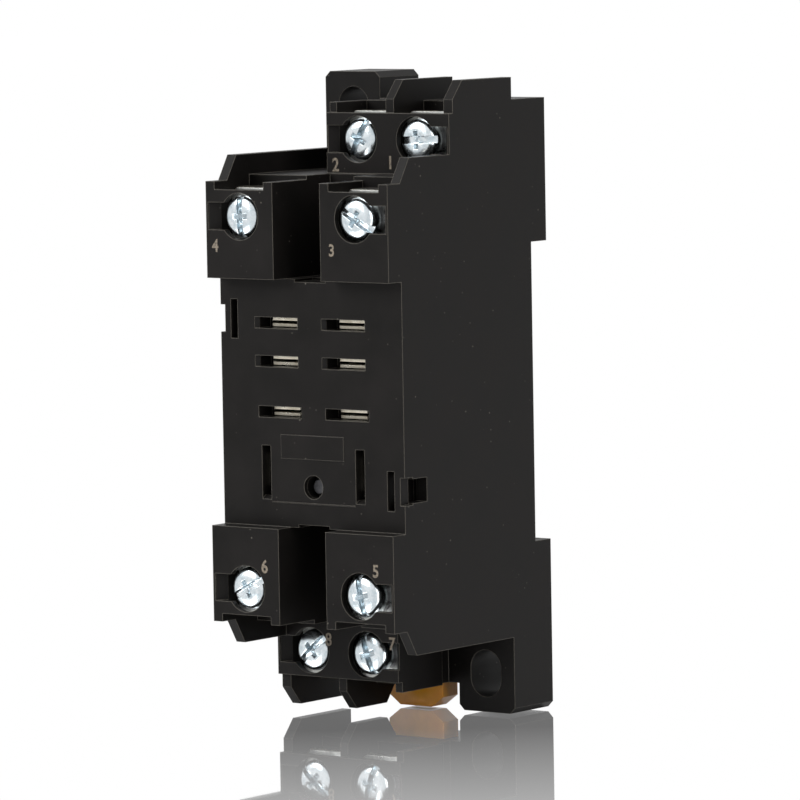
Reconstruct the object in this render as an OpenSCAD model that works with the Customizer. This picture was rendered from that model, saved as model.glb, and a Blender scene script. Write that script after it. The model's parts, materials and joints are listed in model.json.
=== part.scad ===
// Relay socket with eight screw terminals, for a 35 mm mounting rail or a panel.
// Frame: X across the width, Y from the relay (front, -Y) to the rail (back, +Y), Z along the length.
// The origin is the middle of the face that the relay seats on. Both ends are the same
// moulded form, turned half a turn about Y, so every end feature is drawn once, at the +Z end.

/* [Terminals] */
// Distance between neighbouring terminal screws
terminal_pitch = 8.35; // [8.2:0.05:9]
// Clear width of one terminal bay
bay_w = 7.2; // [7:0.1:7.6]
// Moulded wall beside a bay
bay_wall = 1.3; // [1:0.1:1.6]
// Thickness of the finger guard in front of a bay
guard_t = 0.8; // [0.6:0.1:1]
// Depth of the terminal plate behind the guard's face
plate_depth = 3.45; // [3.3:0.05:3.8]
// Depth of the bay's back wall behind the guard's face
bay_depth = 6.6; // [6:0.1:7.4]
// Screw centre below the end edge of the guard
screw_inset = 3.1; // [3:0.1:3.4]
// Diameter of the screwdriver hole in the guard
driver_hole_d = 5.5; // [5.3:0.1:6]
// Height of the side window beside the driver hole
window_h = 3.2; // [2.6:0.1:3.8]

/* [Body] */
// Clear length of the bay that the relay seats in
relay_bay_l = 29; // [28.6:0.1:30]
// Height of the front tier above the relay face
front_rise = 2.4; // [2:0.1:3]
// Length of the front tier
front_tier_l = 11.3; // [11.1:0.1:12]
// Depth of the rear tier's face behind the relay face
rear_tier_y = 9.65; // [9.6:0.05:10.4]
// Rear tier's end edge beyond the front tier's end
rear_tier_step = 7.6; // [7.6:0.1:8.4]
// Back block's end beyond the rear tier's end edge
end_step = 1.2; // [1:0.1:1.6]
// Barriers beyond the back block's end
barrier_rise = 2.6; // [2:0.1:3]
// Ears beyond the back block's end
ear_rise = 3.2; // [3:0.1:3.8]
// Width of an ear
ear_w = 8.1; // [7.6:0.1:8.4]
// Thickness of an ear, front to back
ear_t = 7.7; // [7.5:0.1:8.2]
// Thickness of the deck under the relay
deck_t = 1.5; // [1.2:0.1:1.8]
// Thickness of the rear base plate
base_t = 2; // [1.8:0.1:2.4]

/* [Rail mount] */
// Wall between the tips of the rear screws and the latch
tip_wall = 1.5; // [1.4:0.1:2]
// Thickness of the latch
latch_t = 3; // [2.8:0.1:3.2]
// Rail seat behind the latch's back face
seat_back = 0.95; // [0.9:0.05:1.2]
// Gap between the two feet that the rail lies in
rail_gap = 35.4; // [35.2:0.1:36]
// Height of the feet behind the rail seat
foot_h = 3.05; // [2.9:0.05:3.6]
// Clear thickness under the hook and the latch nose
hook_gap = 1.25; // [1.15:0.05:1.4]
// Reach of the hook and the latch nose over the rail's edge
hook_reach = 1.2; // [0.9:0.1:1.4]
// Travel of the latch
latch_travel = 3; // [2.6:0.1:3.2]

/* [Panel mount] */
// Width of the slotted hole in each ear
ear_slot_w = 4.4; // [4.2:0.1:4.6]
// Length of the slotted hole in each ear
ear_slot_l = 5.6; // [5.2:0.1:6]

/* [Relay contacts] */
// Middle of the contact columns, either side of the centre line
column_x = 4.9; // [4.7:0.1:5]
// Middle of the coil contacts, either side of the centre line
coil_x = 6.85; // [6.7:0.05:7]
// Height of the first contact row above the middle
row_1_z = 9.3; // [9.2:0.1:9.6]
// Height of the second contact row above the middle
row_2_z = 4.8; // [4.6:0.1:5]
// Third contact row below the middle
row_3_z = 1.1; // [1:0.1:1.4]
// Coil contacts below the middle
coil_z = 8; // [7.8:0.1:8.2]
// Length of a contact slot
slot_l = 5.9; // [5.6:0.1:6]
// Width of a contact slot
slot_w = 1.3; // [1.2:0.1:1.4]

/* [Metal parts] */
// Thickness of the terminal strip
strip_t = 1; // [0.8:0.1:1.2]
// Thickness of the contact clip sheet
clip_t = 0.35; // [0.3:0.05:0.4]
// Width of a contact clip
clip_w = 4.8; // [4.4:0.1:5]
// Thread diameter of the terminal screw
screw_d = 3; // [2.9:0.1:3]
// Length of the terminal screw under its head
screw_l = 8; // [7:0.5:8]
// Head diameter of the terminal screw
head_d = 5; // [4.8:0.1:5.2]
// Head height of the terminal screw
head_h = 1.95; // [1.8:0.05:2]
// Side of the square clamp washer
clamp_w = 6.4; // [6:0.1:6.6]
// Thickness of the clamp washer
clamp_t = 0.65; // [0.6:0.05:0.7]

/* [Hidden] */
$fn = 48;
numbers = [1:8];

// Fits
slip = 0.1;             // moulded parts and metal lying in them
rest_gap = 0.03;        // flat faces that lie on each other
over = 1;               // how far a cut runs past a face
thread_gap = 0.05;      // radial clearance of a screw in its thread

// Across the width
half_w = terminal_pitch + bay_w / 2 + bay_wall;
channel_x = terminal_pitch - bay_w / 2 - bay_wall;
lip_t = 1;
lip_x = -bay_w / 2 - lip_t;

// Along the length, measured from the middle
bay_z = relay_bay_l / 2;
front_z = bay_z + front_tier_l;
post_h = 0.95;
guard_1_z = front_z - post_h;
screw_1_z = guard_1_z - screw_inset;
roof_z = front_z + 0.5;
side_wall_z = front_z + 2.9;
guard_2_z = front_z + rear_tier_step;
screw_2_z = guard_2_z - screw_inset;
end_z = guard_2_z + end_step;
barrier_z = end_z + barrier_rise;
ear_z = end_z + ear_rise;
cavity_z = roof_z - 1;
foot_z = rail_gap / 2;
land_z = foot_z - hook_reach - 1;

// Through the depth
face_1_y = -front_rise;
face_2_y = rear_tier_y;
floor_y = deck_t + 7.65;
strip_y = floor_y + 0.05;
channel_y = floor_y - 0.45;
lip_y = face_2_y + 0.75;
tip_depth = head_h + screw_l + 0.5;
latch_y = face_2_y + tip_depth + tip_wall;
seat_y = latch_y + latch_t + seat_back;
foot_y = seat_y + foot_h;
ear_y = foot_y - ear_t;
barrier_back_y = ear_y + 1.1;
base_y = seat_y - base_t;
land_h = 0.3;

// Terminal bay
bay_below = 3.65;
tip_hole_d = screw_d + 0.9;

// Terminal strips
plate_w = bay_w - 2 * slip;
plate_corner = 0.5;
strip_w = 3;
jog_l = 2.4;
riser_off = 1.5;
flange_half = 1.2;
bend_r = 0.35;
rivet_d = 0.9;

// Base screw
base_screw_z = -9.7;
base_screw_d = 2.6;
base_head_d = 4.8;
base_head_h = 1.3;
boss_d = 5.8;
tip_below_deck = 1.1;

// Latch
latch_x = -1.85;
latch_w = 8;
latch_end_z = -ear_z - 0.05;
latch_chamfer = [1.7, 1.25];
nose_w = 5;
foot_wall = 1.3;
nose_l = cavity_z - foot_wall - foot_z - latch_travel - 2 * slip;
window_w = 3.4;
window_top_z = -(cavity_z - 1);
window_low_z = -(end_z - 2.6);
spring_d = 2.5;
spring_wire = 0.4;
rib_h = 1.5;

function up(n) = n <= 4;
function tier(n) = n <= 2 || n >= 7 ? 2 : 1;
function side(n) = up(n) == (n % 2 == 1) ? 1 : -1;
function bay_x(n) = tier(n) == 1 ? side(n) * terminal_pitch : (side(n) > 0 ? terminal_pitch : 0);
function face_y(n) = tier(n) == 1 ? face_1_y : face_2_y;
function screw_z(n) = tier(n) == 1 ? screw_1_z : screw_2_z;
function guard_z(n) = tier(n) == 1 ? guard_1_z : guard_2_z;
// Height of the clip that terminal n feeds, seen from its own end
function clip_z(n) = tier(n) == 1 ? (up(n) ? row_1_z : coil_z) : (up(n) ? row_2_z : row_3_z);
function is_coil(n) = tier(n) == 1 && !up(n);
function clip_x(n) = side(n) * (is_coil(n) ? coil_x : column_x);

// ---- helpers ----

// Terminals 1 to 4 are at the upper end; 5 to 8 are the same parts turned half a turn about Y
module at_end(n) {
    rotate([0, up(n) ? 0 : 180, 0]) children();
}

// Box from one corner to the other
module block(a, b) {
    translate(a) cube(b - a);
}

// Outline in (Y, Z), from x0 to x1
module along_x(x0, x1) {
    translate([x0, 0, 0]) rotate([90, 0, 90]) linear_extrude(x1 - x0) children();
}

// Outline in (X, Z), from y0 to y1
module along_y(y0, y1) {
    translate([0, y1, 0]) rotate([90, 0, 0]) linear_extrude(y1 - y0) children();
}

// Round rod along +Y
module rod(d, y0, y1) {
    translate([0, y1, 0]) rotate([90, 0, 0]) cylinder(d = d, h = y1 - y0);
}

function turned(v, a) = [v.x * cos(a) - v.y * sin(a), v.x * sin(a) + v.y * cos(a)];
function unit(v) = v / norm(v);
function left_of(v) = [-v.y, v.x];

// Points and directions along a path whose corners are bent to radius r
function bend_at(p, a, b, r, steps) =
    let (th = atan2(a.x * b.y - a.y * b.x, a * b), s = sign(th), l = r * tan(abs(th) / 2),
         c = p - a * l + left_of(a) * s * r)
    [for (k = [0:steps]) let (d = turned(a, th * k / steps)) [c - left_of(d) * s * r, d]];
function bent_path(path, r, steps = 4) =
    let (last = len(path) - 1, dirs = [for (i = [0:last - 1]) unit(path[i + 1] - path[i])])
    concat([[path[0], dirs[0]]],
        [for (i = [1:last - 1]) each bend_at(path[i], dirs[i - 1], dirs[i], r, steps)],
        [[path[last], dirs[last - 1]]]);

// Edge-on outline of a sheet of thickness t, bent along a path with inner bend radius r
module sheet_edge(path, t, r) {
    samples = bent_path(path, r + t / 2);
    last = len(samples) - 1;
    polygon(concat([for (s = samples) s[0] + left_of(s[1]) * t / 2],
        [for (i = [last:-1:0]) samples[i][0] - left_of(samples[i][1]) * t / 2]));
}

// ---- housing ----

// Side wall beside the ear: front tier, chamfer, then straight back to the ear
module ear_side_edge() {
    polygon([[0, 0], [0, bay_z], [face_1_y, bay_z], [face_1_y, front_z], [0, front_z],
        [1.8, side_wall_z], [ear_y, side_wall_z], [ear_y, end_z], [foot_y, end_z], [foot_y, 0]]);
}

// Side wall beside the rear tier, which rises into the outer barrier
module barrier_side_edge() {
    polygon([[0, 0], [0, bay_z], [face_1_y, bay_z], [face_1_y, front_z], [0, front_z],
        [1.8, side_wall_z], [face_2_y, side_wall_z], [face_2_y, guard_2_z], [lip_y, guard_2_z],
        [lip_y, end_z + 0.4], [lip_y + 1.9, barrier_z], [barrier_back_y, barrier_z], [barrier_back_y, end_z],
        [foot_y, end_z], [foot_y, 0]]);
}

// Barrier between the two rear bays, with its back corner cut off at back_y
module centre_barrier(back_y, back_run) {
    along_x(bay_w / 2, terminal_pitch - bay_w / 2)
        polygon([[lip_y, roof_z], [lip_y, end_z + 0.4], [lip_y + 1.9, barrier_z],
            [back_y, barrier_z], [back_y + back_run, end_z], [back_y + back_run, roof_z]]);
}

// Everything outside the middle at one end
module end_form(back_y, back_run) {
    for (s = [-1, 1])
        scale([s, 1, 1]) block([channel_x, face_1_y, bay_z], [half_w, channel_y, front_z]);
    block([-half_w, face_1_y + bay_depth, 0], [half_w, foot_y, roof_z]);
    along_x(-half_w, -half_w + bay_wall) ear_side_edge();
    along_x(half_w - bay_wall, half_w) barrier_side_edge();
    block([lip_x, face_2_y, bay_z], [half_w, foot_y, guard_2_z]);
    block([lip_x, lip_y, bay_z], [lip_x + lip_t, foot_y, end_z]);
    block([lip_x, face_2_y + bay_depth, bay_z], [half_w, foot_y, end_z]);
    block([-half_w, ear_y, bay_z], [0, foot_y, end_z]);
    centre_barrier(back_y, back_run);
    ear();
}

module ear() {
    c = 0.7;
    along_y(ear_y, foot_y)
        polygon([[-half_w, roof_z], [-half_w, ear_z - c], [-half_w + c, ear_z],
            [-half_w + ear_w - c, ear_z], [-half_w + ear_w, ear_z - c], [-half_w + ear_w, roof_z]]);
}

module ear_slot() {
    x = -half_w + ear_w / 2 + 0.1;
    z = (roof_z + ear_z) / 2 + 1.15;
    r = ear_slot_w / 2;
    half = ear_slot_l / 2 - r;
    translate([x, 0, z]) {
        for (s = [-1, 1]) translate([0, 0, s * half]) rod(ear_slot_w, ear_y - over, foot_y + over);
        block([-r, ear_y - over, -half], [r, foot_y + over, half]);
    }
}

// Hollow of one terminal bay, its driver hole and window, and the screw's tip hole
module bay_cuts(x, face, guard, out) {
    w = bay_w / 2;
    screw = guard - screw_inset;
    low = screw - bay_below;
    back = face + plate_depth + strip_t + slip / 2;
    floor_z = guard + 0.1;
    translate([x, 0, 0]) {
        block([-w, face + guard_t, low], [w, back, ear_z + over]);
        block([-w, face + guard_t, floor_z], [w, face + bay_depth, ear_z + over]);
        block([-w, face - over, guard], [w, face + guard_t + over, ear_z + over]);
        translate([0, 0, screw]) {
            rod(driver_hole_d, face - over, face + guard_t + over);
            rod(tip_hole_d, face + guard_t, face + tip_depth);
            driver_window(face, out);
        }
    }
}

// Window from the driver hole to the outer wall, ending in a ramp across that wall
module driver_window(face, out) {
    w = bay_w / 2;
    h = window_h / 2;
    block([out > 0 ? 0 : -w, face - over, -h], [out > 0 ? w : 0, face + guard_t + over, h]);
    translate([0, 0, -h]) scale([out, 1, 1]) linear_extrude(window_h)
        polygon([[w - 0.01, face - over], [w + bay_wall - 0.3, face - over], [w + bay_wall - 0.3, face + 0.2],
            [w - 0.01, face + guard_t + 0.4]]);
}

// Slot that the strip passes through behind a bay
module strip_slot(n) {
    x = bay_x(n);
    low = screw_z(n) - bay_below;
    y = face_y(n) + plate_depth;
    if (tier(n) == 1) {
        x0 = clip_side_x(n);
        block([x0 - slip, y - slip, low - strip_t - bend_r],
            [x0 + strip_w + slip, floor_y + over, low + over]);
        block([x - plate_w / 2 - slip, y - slip, low - strip_t - slip],
            [x + plate_w / 2 + slip, y + strip_t + slip, low + over]);
    } else {
        block([x - plate_w / 2 - slip, y - slip, cavity_z - over],
            [x + plate_w / 2 + slip, y + strip_t + slip, low + over]);
    }
}

// Left edge of the strip's narrow run
function clip_side_x(n) = tier(n) == 1
    ? (side(n) > 0 ? coil_x - strip_w / 2 : -coil_x - strip_w / 2)
    : (side(n) > 0 ? column_x - 1.3 : -column_x + 1.3 - strip_w);

// Open channel between the front blocks, with the bars that a relay hold-down clip hooks over
module centre_channel() {
    difference() {
        block([-channel_x, face_1_y - over, bay_z], [channel_x, channel_y, roof_z + over]);
        for (s = [-1, 1]) scale([s, 1, 1])
            block([1.6, 0, bay_z - over], [channel_x + over, 2.2, bay_z + 3]);
        block([-2, 0, bay_z + 0.6], [2, 2.2, bay_z + 1.5]);
    }
    block([-2.25, -over, bay_z - 0.35], [2.25, 3.4, bay_z + 0.6]);
}

// Slot through the deck over one contact clip, with its lead-in, and the clip's chamber behind
module contact_cuts(n) {
    l = slot_l / 2;
    w = slot_w / 2;
    translate([clip_x(n), 0, clip_z(n)]) rotate([0, is_coil(n) ? 90 : 0, 0]) {
        block([-l, -over, -w], [l, deck_t + over, w]);
        slot_lead_in(l, w);
        block([-clip_w / 2 - 0.2, deck_t, -1.6], [clip_w / 2 + 0.2, floor_y + over, 1.6]);
    }
}

// Slope at the left end of a contact slot
module slot_lead_in(l, w) {
    translate([0, 0, -w]) linear_extrude(2 * w)
        polygon([[-l - 0.4, -0.01], [-l + 0.01, -0.01], [-l + 0.01, 0.5], [-l - 0.4, 0.01]]);
}

// Slot and side window for a wire hold-down clip
module hold_down_cuts() {
    z = (row_1_z + coil_z) / 2 + 1;
    block([-half_w + 1.5, -over, z - 2.3], [-half_w + 2.5, 5, z + 2.3]);
    block([-half_w - over, -over, z - 1.6], [-half_w + 0.65, 1.55, z + 1.6]);
    block([-half_w - over, 1.5, z - 1.4], [-half_w + 2, 4.25, z + 1.4]);
}

// Slots on the relay face, chambers, strip slots and bays of one end
module end_cuts(first) {
    for (n = [first:first + 3]) {
        bay_cuts(bay_x(n), face_y(n), guard_z(n), side(n));
        strip_slot(n);
        contact_cuts(n);
    }
    centre_channel();
    ear_slot();
    // recess beside the rear tier, in front of the ear
    block([lip_x - over, ear_y - 2.6, roof_z], [lip_x + lip_t, ear_y, end_z + over]);
    // room behind the deck, between the contact chambers and the side walls
    for (s = [-1, 1]) scale([s, 1, 1])
        block([coil_x + 2.4, deck_t, 0], [half_w - bay_wall, floor_y + over, 6.2]);
    hold_down_cuts();
}

// Room behind the contact floor, open at the back for the rear base
module rear_hollow() {
    x = half_w - bay_wall;
    difference() {
        block([-x, floor_y, -cavity_z], [x, foot_y + over, cavity_z]);
        translate([0, 0, base_screw_z]) rod(boss_d, floor_y - over, base_y);
        // ledges that the rear base sits on
        for (s = [-1, 1]) scale([s, 1, 1])
            block([x - 0.8, base_y - 3, -cavity_z - over], [x + over, base_y, cavity_z + over]);
    }
}

// The rail lies across the back between the feet
module rail_cut() {
    block([-half_w - over, seat_y, -foot_z], [half_w + over, foot_y + over, foot_z]);
}

// Way through the lower end for the latch, with a rib left across its window
module latch_way() {
    difference() {
        block([latch_x - latch_w / 2 - slip, latch_y - slip, -end_z - over],
            [latch_x + latch_w / 2 + slip, latch_y + latch_t + slip, -cavity_z + over]);
        block([latch_x - window_w / 2 + 0.3, latch_y - over, window_low_z + slip],
            [latch_x + window_w / 2 - 0.3, latch_y + latch_t + over, window_low_z + slip + rib_h]);
    }
}

module housing() {
    color([0.11, 0.105, 0.10])
    difference() {
        union() {
            block([-half_w, 0, -bay_z], [half_w, foot_y, bay_z]);
            end_form(barrier_back_y, 0);
            rotate([0, 180, 0]) end_form(latch_y - 3.4, 2);
        }
        end_cuts(1);
        rotate([0, 180, 0]) end_cuts(5);
        rear_hollow();
        rail_cut();
        latch_way();
        translate([0, 0, base_screw_z]) {
            rod(base_screw_d + 2 * thread_gap, 0.5, foot_y);
            rod(2.75, -over, 0.6);
        }
    }
}

// ---- rear base ----

module rear_base() {
    x = half_w - bay_wall - slip;
    z = cavity_z - slip;
    lip = seat_y + hook_gap;
    color([0.12, 0.115, 0.11])
    difference() {
        union() {
            block([-x, base_y + rest_gap, -z], [x, seat_y - land_h, z]);
            block([-x, base_y + rest_gap, -land_z], [x, seat_y, land_z]);
            for (s = [-1, 1]) scale([1, 1, s])
                block([-x, base_y + rest_gap, foot_z], [x, foot_y, z]);
            // two fixed hooks over the rail's upper edge
            for (s = [-1, 1]) scale([s, 1, 1]) along_x(3.5, 9.5)
                polygon([[lip, foot_z + over], [lip, foot_z - hook_reach], [lip + 0.6, foot_z - hook_reach],
                    [foot_y, foot_z - 0.3], [foot_y, foot_z + over]]);
        }
        // feet cored out from the front
        for (s = [-1, 1]) scale([1, 1, s])
            block([-x + foot_wall, base_y, foot_z + foot_wall],
                [x - foot_wall, foot_y - foot_wall, z - foot_wall]);
        // room for the latch and its nose
        block([latch_x - latch_w / 2 - slip, base_y, -z - over],
            [latch_x + latch_w / 2 + slip, latch_y + latch_t + slip, -foot_z + 4.5]);
        block([latch_x - nose_w / 2 - slip, base_y, -foot_z - latch_travel - nose_l - slip],
            [latch_x + nose_w / 2 + slip, foot_y + over, -foot_z + hook_reach + slip]);
        // counterbored hole for the base screw
        translate([0, 0, base_screw_z]) {
            rod(base_screw_d + 2 * thread_gap, base_y - over, foot_y);
            rod(base_head_d + 0.4, seat_y - base_head_h - 0.1, foot_y);
        }
    }
}

module base_screw() {
    top = seat_y - 0.1;
    color([0.75, 0.76, 0.78])
    translate([0, 0, base_screw_z]) difference() {
        union() {
            rod(base_head_d, top - base_head_h + rest_gap, top);
            rod(base_screw_d, tip_below_deck + 0.8, top - 0.2);
            translate([0, tip_below_deck, 0]) rotate([-90, 0, 0])
                cylinder(d1 = base_screw_d - 1, d2 = base_screw_d, h = 0.8);
        }
        for (a = [0, 90]) rotate([0, a, 0]) block([-1.4, top - 0.9, -0.3], [1.4, top + over, 0.3]);
    }
}

// ---- latch ----

module din_latch() {
    y0 = latch_y;
    y1 = latch_y + latch_t;
    lip = seat_y + hook_gap;
    top = -foot_z + 4.3;
    w = latch_w / 2;
    color([0.85, 0.50, 0.08])
    translate([latch_x, 0, 0]) difference() {
        union() {
            along_y(y0, y1)
                polygon([[-w, top], [-w, latch_end_z + latch_chamfer.y],
                    [-w + latch_chamfer.x, latch_end_z], [w - latch_chamfer.x, latch_end_z],
                    [w, latch_end_z + latch_chamfer.y], [w, top]]);
            along_x(-nose_w / 2, nose_w / 2)
                polygon([[y0, -foot_z - nose_l], [y0, -foot_z], [lip, -foot_z], [lip, -foot_z + hook_reach],
                    [lip + 0.5, -foot_z + hook_reach], [foot_y - 0.2, -foot_z - 0.6],
                    [foot_y - 0.2, -foot_z - nose_l]]);
        }
        // window for the return spring
        block([-window_w / 2, y0 - over, window_low_z], [window_w / 2, y1 + over, window_top_z]);
        // screwdriver slot in the tab
        block([-1.6, y0 + 0.9, latch_end_z - over], [1.6, y1 - 0.9, latch_end_z + 1.4]);
    }
}

// Compression spring between the rib of the housing and the top of the latch's window
module latch_spring() {
    low = window_low_z + slip + rib_h + rest_gap;
    high = window_top_z - rest_gap;
    r = (spring_d - spring_wire) / 2;
    turns = 6;
    sides = 8;
    steps = 16 * turns;
    rise = high - low - spring_wire;
    points = [for (i = [0:steps], k = [0:sides - 1])
        let (a = i * 360 * turns / steps, b = k * 360 / sides, rr = r + spring_wire / 2 * cos(b))
        [rr * cos(a), rr * sin(a), rise * i / steps + spring_wire / 2 * sin(b)]];
    skin = [for (i = [0:steps - 1], k = [0:sides - 1])
        let (a = i * sides + k, b = i * sides + (k + 1) % sides) [a, b, b + sides, a + sides]];
    caps = [[for (k = [sides - 1:-1:0]) k], [for (k = [0:sides - 1]) steps * sides + k]];
    color([0.7, 0.71, 0.73])
    translate([latch_x, latch_y + latch_t / 2, low + spring_wire / 2])
        polyhedron(points = points, faces = concat(skin, caps));
}

// ---- metal parts of one terminal ----

// Plate under the screw, a bent leg and the flange that carries the contact clip
module contact_strip(n) {
    x = bay_x(n);
    z = clip_z(n);
    y = face_y(n) + plate_depth;
    low = screw_z(n) - bay_below;
    top = guard_z(n) + 0.1;
    mid = y + strip_t / 2;
    flange = strip_y + strip_t / 2;
    run_x = clip_side_x(n);
    h = plate_w / 2;
    color([0.83, 0.80, 0.72])
    at_end(n) difference() {
        union() {
            along_y(y, y + strip_t)
                polygon([[x - h, low], [x - h, top - plate_corner], [x - h + plate_corner, top],
                    [x + h - plate_corner, top], [x + h, top - plate_corner], [x + h, low]]);
            if (tier(n) == 1) {
                foot = z - (is_coil(n) ? clip_w / 2 : flange_half);
                along_x(run_x, run_x + strip_w)
                    sheet_edge([[mid, top - 1], [mid, low - strip_t / 2], [flange, low - strip_t / 2],
                        [flange, foot]], strip_t, bend_r);
            } else {
                jog = cavity_z - slip;
                block([x - h, y, jog - jog_l], [x + h, y + strip_t, low + over]);
                block([min(run_x, x - h), y, jog - jog_l], [max(run_x + strip_w, x + h), y + strip_t, jog]);
                along_x(run_x, run_x + strip_w)
                    sheet_edge([[mid, jog - jog_l / 2], [mid, z + riser_off], [flange, z + riser_off],
                        [flange, z - flange_half]], strip_t, bend_r);
            }
            if (!is_coil(n))
                along_y(strip_y, strip_y + strip_t)
                    translate([clip_x(n), z])
                        square([clip_w, 2 * flange_half], center = true);
            // stake that holds the clip
            translate([clip_x(n), 0, z]) {
                rod(rivet_d, strip_y - clip_t - 0.3, strip_y + 0.1);
                rod(rivet_d + 0.5, strip_y - clip_t - 0.3, strip_y - clip_t - rest_gap);
            }
        }
        translate([x, 0, screw_z(n)]) rod(screw_d + 2 * thread_gap, y - over, y + strip_t + over);
        // notch in the end edge
        translate([x + side(n) * 0.6, y - over, top])
            rotate([-90, 0, 0]) cylinder(d = 1.2, h = strip_t + 2 * over);
    }
}

// Folded receptacle for one relay blade: two sprung leaves, each split into two fingers
module contact_clip(n) {
    v_tip = deck_t + 0.3;
    v_pinch = v_tip + 1.4;
    v_base = strip_y - clip_t / 2 - 0.01;
    spread = 1.1;
    pinch = 0.33;
    mouth = 0.95;
    path = [[-v_tip, mouth], [-v_pinch, pinch], [-v_base + 1.8, spread], [-v_base, spread],
        [-v_base, -spread], [-v_base + 1.8, -spread], [-v_pinch, -pinch], [-v_tip, -mouth]];
    color([0.80, 0.78, 0.74])
    at_end(n) translate([clip_x(n), 0, clip_z(n)]) rotate([0, is_coil(n) ? 90 : 0, 0])
        difference() {
            along_x(-clip_w / 2, clip_w / 2) mirror([1, 0]) sheet_edge(path, clip_t, 0.2);
            block([-0.25, v_tip - over, -2], [0.25, v_base - 1.6, 2]);
            rod(rivet_d + 0.1, v_base - over, v_base + over);
        }
}

module at_screw(n) {
    at_end(n) translate([bay_x(n), face_y(n), screw_z(n)]) children();
}

// Square washer that clamps the wire, with its corners turned back
module clamp_washer(n) {
    y1 = plate_depth - rest_gap;
    y0 = y1 - clamp_t;
    h = clamp_w / 2;
    c = 0.8;
    color([0.86, 0.86, 0.84])
    at_screw(n) difference() {
        along_y(y0, y1)
            polygon([[-h, -h + c], [-h, h - c], [-h + c, h], [h - c, h], [h, h - c], [h, -h + c],
                [h - c, -h], [-h + c, -h]]);
        rod(screw_d + 0.2, y0 - over, y1 + over);
    }
}

// Split spring washer under the head
module lock_washer(n) {
    y0 = head_h + rest_gap;
    y1 = plate_depth - clamp_t - 2 * rest_gap;
    color([0.80, 0.81, 0.82])
    at_screw(n) difference() {
        rod(head_d - 0.1, y0, y1);
        rod(screw_d + 0.2, y0 - over, y1 + over);
        rotate([0, 35, 0]) block([0, y0 - over, -0.2], [head_d, y1 + over, 0.2]);
    }
}

// Angle of each driver slot, as the screws happened to stop
slot_angles = [2, 62, -30, 92, -78, 28, -72, 42];

// Pan head screw with a slot and a cross, and a plain shank of the thread's diameter
module terminal_screw(n) {
    dome = 0.35;
    tip = 0.5;
    color([0.82, 0.85, 0.87])
    at_screw(n) difference() {
        union() {
            // head outline turned about the screw's axis
            rotate([90, 0, 0]) rotate_extrude()
                polygon([[0, 0], [head_d / 2 - 0.9, -0.08], [head_d / 2 - 0.35, -dome],
                    [head_d / 2, -dome - 0.5], [head_d / 2, -head_h], [0, -head_h]]);
            rod(screw_d, head_h - 0.1, head_h + screw_l - tip);
            translate([0, head_h + screw_l - tip, 0]) rotate([-90, 0, 0])
                cylinder(d1 = screw_d, d2 = screw_d - 0.8, h = tip);
        }
        rotate([0, -slot_angles[n - 1], 0]) {
            block([-head_d, -over, -0.4], [head_d, 0.95, 0.4]);
            block([-0.4, -over, -1.25], [0.4, 1.2, 1.25]);
        }
    }
}

housing();
rear_base();
base_screw();
din_latch();
latch_spring();
for (n = numbers) {
    contact_strip(n);
    contact_clip(n);
    clamp_washer(n);
    lock_washer(n);
    terminal_screw(n);
}
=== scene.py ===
import bpy
import bmesh
import json
import math
from mathutils import Matrix, Vector


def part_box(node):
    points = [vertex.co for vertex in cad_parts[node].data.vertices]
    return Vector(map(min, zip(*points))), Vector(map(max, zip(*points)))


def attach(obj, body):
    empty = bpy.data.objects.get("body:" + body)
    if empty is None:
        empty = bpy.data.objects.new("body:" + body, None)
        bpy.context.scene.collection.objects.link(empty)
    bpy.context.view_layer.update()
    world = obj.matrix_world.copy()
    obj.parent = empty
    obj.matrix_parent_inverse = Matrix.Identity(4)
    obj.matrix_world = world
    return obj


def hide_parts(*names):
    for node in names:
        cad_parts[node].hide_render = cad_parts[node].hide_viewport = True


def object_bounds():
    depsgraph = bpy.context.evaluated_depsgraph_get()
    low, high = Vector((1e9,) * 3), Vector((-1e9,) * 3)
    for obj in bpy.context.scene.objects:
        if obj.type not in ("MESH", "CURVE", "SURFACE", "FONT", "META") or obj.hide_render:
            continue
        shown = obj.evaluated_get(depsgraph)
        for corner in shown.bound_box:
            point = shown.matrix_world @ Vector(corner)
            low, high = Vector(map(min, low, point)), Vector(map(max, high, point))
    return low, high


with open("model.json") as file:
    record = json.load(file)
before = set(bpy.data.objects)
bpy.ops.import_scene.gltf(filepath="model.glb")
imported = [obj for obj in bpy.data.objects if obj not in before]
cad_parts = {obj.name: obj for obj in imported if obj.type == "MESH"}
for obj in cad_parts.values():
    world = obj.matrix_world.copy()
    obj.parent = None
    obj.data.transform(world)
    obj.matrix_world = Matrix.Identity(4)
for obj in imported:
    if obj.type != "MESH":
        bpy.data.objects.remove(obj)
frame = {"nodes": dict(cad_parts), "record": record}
cadBounds = [list(corner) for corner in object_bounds()]
record = frame["record"]
mm = 0.001
print("stage: frame loaded")


# ---- helpers ----

def linear(hexColour, alpha=1.0):
    # sRGB hex to the linear colour that the shaders take
    values = []
    for i in (0, 2, 4):
        c = int(hexColour[i:i + 2], 16) / 255
        values.append(c / 12.92 if c <= 0.04045 else ((c + 0.055) / 1.055) ** 2.4)
    return (*values, alpha)


def add(tree, kind, settings=None, links=None):
    # one shader node: settings are properties or unlinked inputs, links are inputs fed by an output
    node = tree.nodes.new(kind)
    for key, value in (settings or {}).items():
        if isinstance(key, str) and hasattr(node, key):
            setattr(node, key, value)
        else:
            node.inputs[key].default_value = value
    for key, output in (links or {}).items():
        tree.links.new(output, node.inputs[key])
    return node


def newMaterial(name):
    material = bpy.data.materials.new(name)
    material.use_nodes = True
    tree = material.node_tree
    tree.nodes.clear()
    return material, tree


def finishMaterial(tree, shader):
    add(tree, "ShaderNodeOutputMaterial", links={"Surface": shader})


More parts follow.
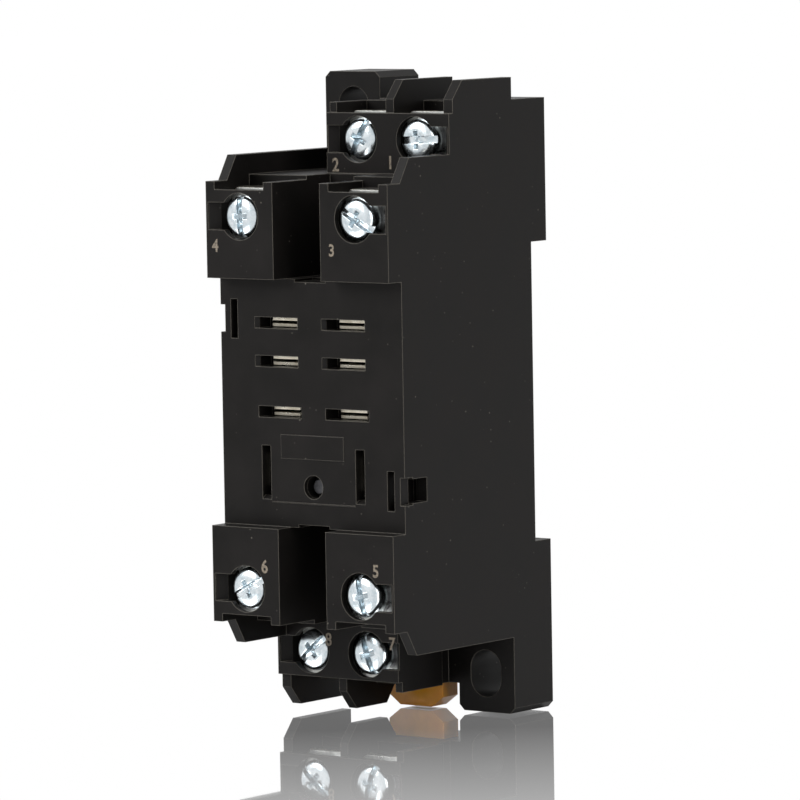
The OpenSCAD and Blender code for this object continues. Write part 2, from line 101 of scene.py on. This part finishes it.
def ramp(tree, source, stops):
    # grey or coloured ramp: stops are (position, colour)
    node = add(tree, "ShaderNodeValToRGB", links={"Fac": source})
    while len(node.color_ramp.elements) < len(stops):
        node.color_ramp.elements.new(0.5)
    for element, (position, colour) in zip(node.color_ramp.elements, stops):
        element.position = position
        element.color = colour
    return node


def toObject(name, mesh, body, material, smooth=True):
    # a finished piece: origin at zero, riding on its CAD body
    mesh.normal_update()
    data = bpy.data.meshes.new(name)
    mesh.to_mesh(data)
    mesh.free()
    piece = bpy.data.objects.new(name, data)
    bpy.context.scene.collection.objects.link(piece)
    data.materials.append(material)
    if smooth:
        for face in data.polygons:
            face.use_smooth = True
    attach(piece, body)
    return piece


# ---- materials ----

def mouldedNylonBlack(name, base, dust, sheen, edge):
    # glass-filled nylon, injection moulded in a spark-eroded tool: near black, fine even grain,
    # dull on the faces that fingers and screwdrivers touch, with pale specks of dust, and pale edge lines
    # that are a painted highlight, partly rub
    material, tree = newMaterial(name)
    place = add(tree, "ShaderNodeTexCoord").outputs["Object"]
    # tool grain of 0.12 mm, drawn at 0.2 mm so that it shows
    grain = add(tree, "ShaderNodeTexNoise", {"Scale": 1 / (0.2 * mm), "Detail": 3.0, "Roughness": 0.6},
                {"Vector": place})
    # slow change of gloss over 6 mm
    cloud = add(tree, "ShaderNodeTexNoise", {"Scale": 1 / (6 * mm), "Detail": 4.0, "Roughness": 0.55},
                {"Vector": place})
    # dust specks, about 0.12 mm wide and 1.2 mm apart
    specks = add(tree, "ShaderNodeTexVoronoi", {"Scale": 1 / (1.2 * mm), "Randomness": 1.0},
                 {"Vector": place})
    speckMask = ramp(tree, specks.outputs["Distance"],
                     [(0.0, (1, 1, 1, 1)), (0.07, (0.5, 0.5, 0.5, 1)), (0.1, (0, 0, 0, 1))])
    patch = ramp(tree,
                 add(tree, "ShaderNodeTexNoise", {"Scale": 1 / (4 * mm), "Detail": 2.0},
                     {"Vector": place}).outputs["Fac"],
                 [(0.5, (0, 0, 0, 1)), (0.66, (1, 1, 1, 1))])
    speckAmount = add(tree, "ShaderNodeMath", {"operation": "MULTIPLY"},
                      {0: speckMask.outputs["Color"], 1: patch.outputs["Color"]})
    speckScaled = add(tree, "ShaderNodeMath", {"operation": "MULTIPLY", 1: dust},
                      {0: speckAmount.outputs[0]})
    tone = ramp(tree, cloud.outputs["Fac"], [(0.3, linear(base[0])), (0.7, linear(base[1]))])
    colour = add(tree, "ShaderNodeMix", {"data_type": "RGBA", 7: linear(base[2])},
                 {0: speckScaled.outputs[0], 6: tone.outputs["Color"]})
    gloss = ramp(tree, cloud.outputs["Fac"], [(0.3, (sheen[0],) * 3 + (1,)), (0.7, (sheen[1],) * 3 + (1,))])
    corner = add(tree, "ShaderNodeBevel", {"samples": 6, "Radius": 0.16 * mm})
    flat = add(tree, "ShaderNodeNewGeometry")
    lean = add(tree, "ShaderNodeVectorMath", {"operation": "DOT_PRODUCT"},
               {0: corner.outputs["Normal"], 1: flat.outputs["True Normal"]})
    # painted highlight, partly edge wear: where the bevel normal leans off the face, the colour is
    # lightened towards the pale base[2] by up to the edge amount, standing in for the highlights on convex
    # corners
    edgeHighlightAndWearMask = ramp(tree, lean.outputs["Value"], [(0.80, (edge,) * 3 + (1,)), (0.98, (0, 0, 0, 1))])
    edgeHighlightAndWearColour = add(tree, "ShaderNodeMix", {"data_type": "RGBA", 7: linear(base[2])},
               {0: edgeHighlightAndWearMask.outputs["Color"], 6: colour.outputs[2]})
    bump = add(tree, "ShaderNodeBump", {"Strength": 0.12, "Distance": 0.02 * mm},
               {"Height": grain.outputs["Fac"], "Normal": corner.outputs["Normal"]})
    shader = add(tree, "ShaderNodeBsdfPrincipled", {"IOR": 1.52, "Specular IOR Level": 0.08},
                 {"Base Color": edgeHighlightAndWearColour.outputs[2], "Roughness": gloss.outputs["Color"],
                  "Normal": bump.outputs["Normal"]})
    finishMaterial(tree, shader.outputs[0])
    return material


def mouldedNylonAmber(name):
    # natural orange-brown polyamide, smooth and a little translucent, so thin edges glow
    material, tree = newMaterial(name)
    place = add(tree, "ShaderNodeTexCoord").outputs["Object"]
    cloud = add(tree, "ShaderNodeTexNoise", {"Scale": 1 / (3 * mm), "Detail": 3.0}, {"Vector": place})
    tone = ramp(tree, cloud.outputs["Fac"], [(0.3, linear("c4800e")), (0.7, linear("dc981c"))])
    corner = add(tree, "ShaderNodeBevel", {"samples": 6, "Radius": 0.2 * mm})
    grain = add(tree, "ShaderNodeTexNoise", {"Scale": 1 / (0.3 * mm), "Detail": 2.0}, {"Vector": place})
    bump = add(tree, "ShaderNodeBump", {"Strength": 0.06, "Distance": 0.02 * mm},
               {"Height": grain.outputs["Fac"], "Normal": corner.outputs["Normal"]})
    shader = add(tree, "ShaderNodeBsdfPrincipled",
                 {"Roughness": 0.38, "IOR": 1.53, "Subsurface Weight": 0.25,
                 "Subsurface Radius": (1.6, 0.7, 0.2), "Subsurface Scale": 0.8 * mm},
                 {"Base Color": tone.outputs["Color"], "Normal": bump.outputs["Normal"]})
    finishMaterial(tree, shader.outputs[0])
    return material


def platedMetal(name, light, shade, rough, grainSize, strength, corner=0.08):
    # electroplated or passivated sheet and turned steel: metal with a soft satin grain
    material, tree = newMaterial(name)
    place = add(tree, "ShaderNodeTexCoord").outputs["Object"]
    cloud = add(tree, "ShaderNodeTexNoise", {"Scale": 1 / (1.1 * mm), "Detail": 5.0, "Roughness": 0.65},
                {"Vector": place})
    grain = add(tree, "ShaderNodeTexNoise", {"Scale": 1 / (grainSize * mm), "Detail": 3.0},
                {"Vector": place})
    tone = ramp(tree, cloud.outputs["Fac"], [(0.35, linear(shade)), (0.65, linear(light))])
    gloss = ramp(tree, cloud.outputs["Fac"],
                 [(0.3, (rough * 1.35,) * 3 + (1,)), (0.7, (rough * 0.8,) * 3 + (1,))])
    edge = add(tree, "ShaderNodeBevel", {"samples": 4, "Radius": corner * mm})
    bump = add(tree, "ShaderNodeBump", {"Strength": strength, "Distance": 0.01 * mm},
               {"Height": grain.outputs["Fac"], "Normal": edge.outputs["Normal"]})
    shader = add(tree, "ShaderNodeBsdfPrincipled", {"Metallic": 1.0},
                 {"Base Color": tone.outputs["Color"], "Roughness": gloss.outputs["Color"],
                  "Normal": bump.outputs["Normal"]})
    finishMaterial(tree, shader.outputs[0])
    return material


def printedInk(name):
    # thin pad-printed ink, worn: the black shows through in small breaks
    material, tree = newMaterial(name)
    place = add(tree, "ShaderNodeTexCoord").outputs["Object"]
    breaks = add(tree, "ShaderNodeTexNoise", {"Scale": 1 / (0.22 * mm), "Detail": 4.0}, {"Vector": place})
    tone = ramp(tree, breaks.outputs["Fac"], [(0.3, linear("3a342c")), (0.55, linear("766c5e"))])
    shader = add(tree, "ShaderNodeBsdfPrincipled", {"Roughness": 0.7, "IOR": 1.45},
                 {"Base Color": tone.outputs["Color"]})
    finishMaterial(tree, shader.outputs[0])
    return material


# the third colour is the pale of the dust specks and of the painted edge highlight; the last number sets
# the strength of that painted edge highlight, partly edge wear
housingBlack = mouldedNylonBlack("mouldedNylonHousing", ("0f0e0d", "141211", "6e6a62"), 0.8, (0.36, 0.48),
                                 0.8)
baseBlack = mouldedNylonBlack("mouldedNylonRearBase", ("100f0e", "151312", "5a564f"), 0.5, (0.45, 0.6), 0.5)
latchAmber = mouldedNylonAmber("mouldedNylonLatch")
zincScrew = platedMetal("brightZincScrewSteel", "d9dfe2", "b9c4ca", 0.20, 0.08, 0.25)
washerSteel = platedMetal("zincWasherSteel", "cfd0cd", "a9aaa6", 0.30, 0.1, 0.3)
# painted shade: the base screw is zinc-plated steel drawn dark grey, so the shade in the hole it sits in is
# painted into its colour
shadeDarkenedScrewSteel = platedMetal("shadeDarkenedBaseScrewSteel", "4c4c4e", "303032", 0.45, 0.1, 0.2)
springSteel = platedMetal("drawnSpringSteel", "9fa1a4", "77797c", 0.28, 0.08, 0.2)
stripNickel = platedMetal("nickelPlatedBrassStrip", "cfc8b8", "a89f8c", 0.26, 0.12, 0.2)
clipNickel = platedMetal("nickelPlatedClipSheet", "ece6d6", "cfc7b4", 0.30, 0.06, 0.2, 0.04)
numeralInk = printedInk("padPrintedInk")

nodeMaterial = {"housing": housingBlack, "rear_base": baseBlack, "base_screw": shadeDarkenedScrewSteel,
                "din_latch": latchAmber, "latch_spring": springSteel}
for n in range(1, 9):
    nodeMaterial[f"contact_strip_{n}"] = stripNickel
    nodeMaterial[f"contact_clip_{n}"] = clipNickel
    nodeMaterial[f"clamp_washer_{n}"] = washerSteel
    nodeMaterial[f"lock_washer_{n}"] = springSteel
    nodeMaterial[f"terminal_screw_{n}"] = zincScrew
for name, node in frame["nodes"].items():
    node.data.materials.clear()
    node.data.materials.append(nodeMaterial[name])
print("stage: materials on", len(nodeMaterial), "nodes")


# ---- terminal screws ----

screwSizes = {"slotWidth": 0.85, "slotDepth": 0.95, "crossReach": 1.45, "crossDepth": 1.35,
              "crossWidth": 0.75,
              "threadPitch": 0.5, "threadDepth": 0.26, "shankInset": 0.02,
              "angles": [2, 62, -30, 92, -78, 28, -72, 42]}


def boxCutter(name, sizes, turn):
    mesh = bmesh.new()
    bmesh.ops.create_cube(mesh, size=1.0)
    bmesh.ops.scale(mesh, vec=Vector(sizes) * mm, verts=mesh.verts)
    bmesh.ops.rotate(mesh, cent=(0, 0, 0), matrix=Matrix.Rotation(turn, 3, "Y"), verts=mesh.verts)
    data = bpy.data.meshes.new(name)
    mesh.to_mesh(data)
    mesh.free()
    cutter = bpy.data.objects.new(name, data)
    bpy.context.scene.collection.objects.link(cutter)
    return cutter


def wingCutter(name, reach, depth, width, turn):
    # one pair of wings of the cross recess, narrower towards the bottom
    mesh = bmesh.new()
    bmesh.ops.create_cube(mesh, size=1.0)
    bmesh.ops.scale(mesh, vec=Vector((2 * reach, 2 * depth, width)) * mm, verts=mesh.verts)
    for vert in mesh.verts:
        if vert.co.y > 0:
            vert.co.x *= 0.45
            vert.co.z *= 0.7
    bmesh.ops.rotate(mesh, cent=(0, 0, 0), matrix=Matrix.Rotation(turn, 3, "Y"), verts=mesh.verts)
    data = bpy.data.meshes.new(name)
    mesh.to_mesh(data)
    mesh.free()
    cutter = bpy.data.objects.new(name, data)
    bpy.context.scene.collection.objects.link(cutter)
    return cutter


def screwHeadMesh(headRadius, headHeight):
    # pan head turned about Y, front at y = 0, then slotted and crossed
    mesh = bmesh.new()
    profile = [(0, -0.10), (headRadius - 1.15, -0.06), (headRadius - 0.7, 0.04), (headRadius - 0.38, 0.2),
               (headRadius - 0.16, 0.46),
               (headRadius - 0.04, 0.8), (headRadius, 1.2), (headRadius, headHeight - 0.08),
               (headRadius - 0.08, headHeight), (0, headHeight)]
    line = [mesh.verts.new((x * mm, y * mm, 0)) for x, y in profile]
    edges = [mesh.edges.new(pair) for pair in zip(line, line[1:])]
    bmesh.ops.spin(mesh, geom=line + edges, cent=(0, 0, 0), axis=(0, 1, 0), angle=2 * math.pi, steps=64,
                   use_merge=True)
    bmesh.ops.remove_doubles(mesh, verts=mesh.verts, dist=0.001 * mm)
    bmesh.ops.recalc_face_normals(mesh, faces=mesh.faces)
    data = bpy.data.meshes.new("screwHead")
    mesh.to_mesh(data)
    mesh.free()
    head = bpy.data.objects.new("screwHead", data)
    bpy.context.scene.collection.objects.link(head)
    slotBox = (3 * headRadius, 2 * screwSizes["slotDepth"], screwSizes["slotWidth"])
    cutters = [boxCutter("slotCutter", slotBox, 0),
               *[wingCutter("wingCutter", screwSizes["crossReach"], screwSizes["crossDepth"],
                            screwSizes["crossWidth"], turn) for turn in (0, math.pi / 2)]]
    for cutter in cutters:
        cut = head.modifiers.new("cut", "BOOLEAN")
        cut.operation = "DIFFERENCE"
        cut.solver = "EXACT"
        cut.object = cutter
    soften = head.modifiers.new("soften", "BEVEL")
    soften.width = 0.05 * mm
    soften.segments = 2
    soften.limit_method = "ANGLE"
    soften.angle_limit = math.radians(40)
    bpy.context.view_layer.update()
    made = bpy.data.meshes.new_from_object(head.evaluated_get(bpy.context.evaluated_depsgraph_get()))
    print("screw head:", len(made.vertices), "points")
    for spent in cutters + [head]:
        bpy.data.objects.remove(spent, do_unlink=True)
    return made


def threadedShank(radius, start, length):
    # helical ridge by spinning one tooth section along Y
    mesh = bmesh.new()
    pitch = screwSizes["threadPitch"]
    depth = screwSizes["threadDepth"]
    core = radius - depth
    turns = int((length - 0.4) / pitch)
    section = [(core - 0.2, 0), (core, 0.02), (radius, pitch * 0.5), (core, pitch - 0.02),
               (core - 0.2, pitch)]
    line = [mesh.verts.new((x * mm, (start + y) * mm, 0)) for x, y in section]
    edges = [mesh.edges.new(pair) for pair in zip(line, line[1:])]
    bmesh.ops.spin(mesh, geom=line + edges, cent=(0, 0, 0), axis=(0, 1, 0), dvec=(0, pitch / 24 * mm, 0),
                   angle=2 * math.pi * (turns - 1), steps=24 * (turns - 1))
    made = bmesh.ops.create_cone(mesh, cap_ends=True, segments=24, radius1=(core - 0.05) * mm,
                                 radius2=(core - 0.05) * mm,
                                 depth=length * mm)["verts"]
    bmesh.ops.rotate(mesh, cent=(0, 0, 0), matrix=Matrix.Rotation(math.pi / 2, 3, "X"), verts=made)
    bmesh.ops.translate(mesh, vec=(0, (start + length / 2) * mm, 0), verts=made)
    bmesh.ops.recalc_face_normals(mesh, faces=mesh.faces)
    return mesh


def dressScrews():
    low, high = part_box("terminal_screw_1")
    headRadius = (high[0] - low[0]) / 2 / mm
    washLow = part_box("lock_washer_1")[0]
    headHeight = (washLow[1] - low[1]) / mm - 0.12
    headData = screwHeadMesh(headRadius, headHeight)
    length = (high[1] - low[1]) / mm
    for n in range(1, 9):
        low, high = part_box(f"terminal_screw_{n}")
        front = low[1] + 0.1 * mm
        mesh = threadedShank(1.5 - screwSizes["shankInset"], headHeight - 0.1, length - 0.1 - headHeight)
        mesh.from_mesh(headData)
        turn = Matrix.Rotation(-math.radians(screwSizes["angles"][n - 1]), 4, "Y")
        place = Matrix.Translation(((low[0] + high[0]) / 2, front, (low[2] + high[2]) / 2))
        bmesh.ops.transform(mesh, matrix=place @ turn, verts=mesh.verts)
        piece = toObject(f"screw_{n}_dressed", mesh, f"screw_{n}", zincScrew)
        piece.data.set_sharp_from_angle(angle=math.radians(38))
        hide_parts(f"terminal_screw_{n}")


dressScrews()
print("stage: terminal screws")


# ---- contact clips ----

# half outline of the folded clip, as depth behind the relay face and distance from its middle
clipSizes = {"sheet": 0.35, "half": [(1.62, 0.36), (2.3, 0.27), (7.2, 1.1)], "rootGap": 0.18,
             "tipSlant": 0.5}


def foldedSheet(points, thickness):
    # closed outline of a bent sheet, offset half its thickness to either side of a path
    left, right = [], []
    for i, point in enumerate(points):
        before = (point - points[i - 1]).normalized() if i else None
        after = (points[i + 1] - point).normalized() if i + 1 < len(points) else None
        run = ((before or after) + (after or before)).normalized()
        normal = Vector((-run.y, run.x))
        reach = thickness / 2 / max(0.5, normal.dot(Vector((-(after or before).y, (after or before).x))))
        left.append(point + normal * reach)
        right.append(point - normal * reach)
    return left + right[::-1]


def dressClips():
    for n in range(1, 9):
        low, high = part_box(f"contact_clip_{n}")
        middle = (Vector(low) + Vector(high)) / 2
        upright = high[2] - low[2] > high[0] - low[0]
        width = max(high[0] - low[0], high[2] - low[2]) / mm
        root = high[1] / mm - clipSizes["rootGap"]
        half = [Vector(point) for point in clipSizes["half"]] + [Vector((root, clipSizes["half"][-1][1]))]
        path = half + [Vector((point.x, -point.y)) for point in reversed(half)]
        mesh = bmesh.new()
        outline = foldedSheet(path, clipSizes["sheet"])
        ring = [mesh.verts.new((-width / 2 * mm, point.x * mm, point.y * mm)) for point in outline]
        count = len(path)
        strips = [mesh.faces.new((ring[i], ring[i + 1], ring[-i - 2], ring[-i - 1]))
                  for i in range(count - 1)]
        made = bmesh.ops.extrude_face_region(mesh, geom=strips)["geom"]
        far = [item for item in made if isinstance(item, bmesh.types.BMVert)]
        bmesh.ops.translate(mesh, vec=(width * mm, 0, 0), verts=far)
        for vert in mesh.verts:
            if vert.co.y < (clipSizes["half"][0][0] + 0.3) * mm:
                vert.co.x -= math.copysign(clipSizes["tipSlant"] * mm, vert.co.x)
        bmesh.ops.recalc_face_normals(mesh, faces=mesh.faces)
        if upright:
            bmesh.ops.rotate(mesh, cent=(0, 0, 0), matrix=Matrix.Rotation(math.pi / 2, 3, "Y"),
                             verts=mesh.verts)
        bmesh.ops.translate(mesh, vec=(middle.x, 0, middle.z), verts=mesh.verts)
        piece = toObject(f"clip_{n}_dressed", mesh, "base", clipNickel, smooth=False)
        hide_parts(f"contact_clip_{n}")


dressClips()
print("stage: contact clips")


# ---- raised bare field and line on the relay face ----

def raiseOnFace(name, left, right, low, high, rise):
    # thin raised field with sloping edges, moulded on the relay face
    mesh = bmesh.new()
    bmesh.ops.create_cube(mesh, size=1.0)
    for vert in mesh.verts:
        slope = rise if vert.co.y < 0 else 0
        vert.co.x = (left + slope if vert.co.x < 0 else right - slope) * mm
        vert.co.z = (low + slope if vert.co.z < 0 else high - slope) * mm
        vert.co.y = (-rise if vert.co.y < 0 else 0.05) * mm
    bmesh.ops.recalc_face_normals(mesh, faces=mesh.faces)
    toObject(name, mesh, "base", housingBlack, smooth=False)


raiseOnFace("bareField", -4.7, 4.6, -6.55, -3.6, 0.08)
raiseOnFace("faceLine", -6.1, 6.1, -11.75, -11.5, 0.06)
print("stage: relay face")


# ---- numerals ----

# left edge, low edge and height of each printed number
numerals = {4: (-12.45, 17.56, 1.5), 3: (4.72, 17.4, 1.44),
            2: (-3.8, 26.5, 1.6), 1: (4.55, 26.87, 1.54),
            6: (-6.0, -19.77, 1.6), 5: (10.24, -19.42, 1.5),
            8: (-6.1, -29.6, 1.55), 7: (3.3, -29.6, 1.55)}
numeralStyle = {"bold": 0.022, "squeeze": 0.92, "lift": 0.012, "frontTier": -2.4, "rearTier": 9.65}


def printNumerals():
    for number, (left, bottom, height) in numerals.items():
        curve = bpy.data.curves.new(f"numeral_{number}", "FONT")
        curve.body = str(number)
        curve.size = 1.0
        curve.offset = numeralStyle["bold"]
        text = bpy.data.objects.new(f"numeral_{number}", curve)
        bpy.context.scene.collection.objects.link(text)
        bpy.context.view_layer.update()
        data = bpy.data.meshes.new_from_object(text.evaluated_get(bpy.context.evaluated_depsgraph_get()))
        bpy.data.objects.remove(text, do_unlink=True)
        mesh = bmesh.new()
        mesh.from_mesh(data)
        lowX = min(v.co.x for v in mesh.verts)
        lowY = min(v.co.y for v in mesh.verts)
        tall = max(v.co.y for v in mesh.verts) - lowY
        bmesh.ops.translate(mesh, vec=(-lowX, -lowY, 0), verts=mesh.verts)
        grow = height * mm / tall
        bmesh.ops.scale(mesh, vec=(grow * numeralStyle["squeeze"], grow, 1), verts=mesh.verts)
        bmesh.ops.rotate(mesh, cent=(0, 0, 0), matrix=Matrix.Rotation(math.pi / 2, 3, "X"),
                         verts=mesh.verts)
        face = numeralStyle["frontTier" if number in (3, 4, 5, 6) else "rearTier"]
        depth = (face - numeralStyle["lift"]) * mm
        bmesh.ops.translate(mesh, vec=(left * mm, depth, bottom * mm), verts=mesh.verts)
        toObject(f"numeral_{number}", mesh, "base", numeralInk, smooth=False)


printNumerals()
print("stage: numerals")


# ---- stage, lights, camera ----

def softLight(name, place, aim, size, power, tint="ffffff"):
    lamp = bpy.data.lights.new(name, "AREA")
    lamp.shape = "RECTANGLE"
    lamp.size, lamp.size_y = size
    lamp.energy = power
    lamp.color = linear(tint)[:3]
    holder = bpy.data.objects.new(name, lamp)
    holder.location = place
    holder.rotation_euler = (Vector(aim) - Vector(place)).to_track_quat("-Z", "Y").to_euler()
    bpy.context.scene.collection.objects.link(holder)


floorSizes = {"gap": 0.25, "hazeLength": 70}


def layFloor():
    # gloss-white acrylic sheet: reads as white, with a faint mirror image of what stands on it
    low = cadBounds[0][2] - floorSizes["gap"] * mm
    mesh = bmesh.new()
    bmesh.ops.create_grid(mesh, x_segments=1, y_segments=1, size=2.5)
    bmesh.ops.translate(mesh, vec=(0, 0, low), verts=mesh.verts)
    data = bpy.data.meshes.new("floor")
    mesh.to_mesh(data)
    mesh.free()
    floor = bpy.data.objects.new("floor", data)
    bpy.context.scene.collection.objects.link(floor)
    material, tree = newMaterial("glossAcrylicFloor")
    rays = add(tree, "ShaderNodeLightPath")
    plain = add(tree, "ShaderNodeBsdfDiffuse", {"Color": linear("e8e8e8")})
    glow = add(tree, "ShaderNodeEmission", {"Color": (1, 1, 1, 1), "Strength": 1.0})
    mirror = add(tree, "ShaderNodeBsdfGlossy", {"Color": (1, 1, 1, 1), "Roughness": 0.02})
    # haze grows towards the sheet's front edge
    place = add(tree, "ShaderNodeTexCoord").outputs["Object"]
    forward = add(tree, "ShaderNodeVectorMath", {"operation": "DOT_PRODUCT", 1: (0.6, -0.8, 0)}, {0: place})
    reach = add(tree, "ShaderNodeMath", {"operation": "DIVIDE", 1: floorSizes["hazeLength"] * mm},
                {0: forward.outputs["Value"]})
    fade = ramp(tree, reach.outputs[0], [(0.0, (0.86, 0.86, 0.86, 1)), (1.0, (0.55, 0.55, 0.55, 1))])
    shown = add(tree, "ShaderNodeMixShader",
                links={"Fac": fade.outputs["Color"], 1: glow.outputs[0], 2: mirror.outputs[0]})
    seen = add(tree, "ShaderNodeMath", {"operation": "MAXIMUM"},
               {0: rays.outputs["Is Camera Ray"], 1: rays.outputs["Is Glossy Ray"]})
    mix = add(tree, "ShaderNodeMixShader",
              links={"Fac": seen.outputs[0], 1: plain.outputs[0], 2: shown.outputs[0]})
    finishMaterial(tree, mix.outputs[0])
    data.materials.append(material)


def lightWorld():
    world = bpy.data.worlds.new("studio")
    bpy.context.scene.world = world
    world.use_nodes = True
    tree = world.node_tree
    tree.nodes.clear()
    rays = add(tree, "ShaderNodeLightPath")
    seen = add(tree, "ShaderNodeMath", {"operation": "MAXIMUM"},
               {0: rays.outputs["Is Camera Ray"], 1: rays.outputs["Is Glossy Ray"]})
    dim = add(tree, "ShaderNodeBackground", {"Color": (1, 1, 1, 1), "Strength": 0.35})
    bright = add(tree, "ShaderNodeBackground", {"Color": (1, 1, 1, 1), "Strength": 1.0})
    mix = add(tree, "ShaderNodeMixShader",
              links={"Fac": seen.outputs[0], 1: dim.outputs[0], 2: bright.outputs[0]})
    add(tree, "ShaderNodeOutputWorld", links={"Surface": mix.outputs[0]})


# angles in degrees, roll in radians, lens in mm, distance in metres and the rest in mm
view = {"azimuth": 36.94, "height": 4.84, "roll": -0.01693, "lens": 278.9, "distance": 0.728,
        "middleDepth": 12.108, "right": 2.93, "down": 0.49}


def placeCamera():
    azimuth, height, roll = math.radians(view["azimuth"]), math.radians(view["height"]), view["roll"]
    right = Vector((math.cos(azimuth), math.sin(azimuth), 0))
    back = Vector((math.sin(azimuth) * math.cos(height), -math.cos(azimuth) * math.cos(height),
                   math.sin(height)))
    up = back.cross(right)
    target = Vector((0, view["middleDepth"] * mm, 0)) + right * view["right"] * mm
    target -= up * view["down"] * mm
    across = right * math.cos(roll) + up * math.sin(roll)
    above = up * math.cos(roll) - right * math.sin(roll)
    data = bpy.data.cameras.new("camera")
    data.sensor_width = 36
    data.lens = view["lens"]
    data.clip_start = 0.01
    camera = bpy.data.objects.new("camera", data)
    turned = Matrix((across, above, back)).transposed().to_4x4()
    camera.matrix_world = Matrix.Translation(target + back * view["distance"]) @ turned
    bpy.context.scene.collection.objects.link(camera)
    bpy.context.scene.camera = camera


layFloor()
lightWorld()
softLight("keyLeft", (-0.35, -0.55, 0.45), (0, 0, 0), (0.5, 0.5), 6.0)
softLight("fillRight", (0.8, -0.25, 0.3), (0, 0, 0), (0.5, 0.7), 4.0)
softLight("topLight", (0.0, 0.1, 0.8), (0, 0, 0), (0.7, 0.7), 5.0)
placeCamera()
scene = bpy.context.scene
scene.view_settings.view_transform = "Standard"
print("stage: floor, lights and camera")
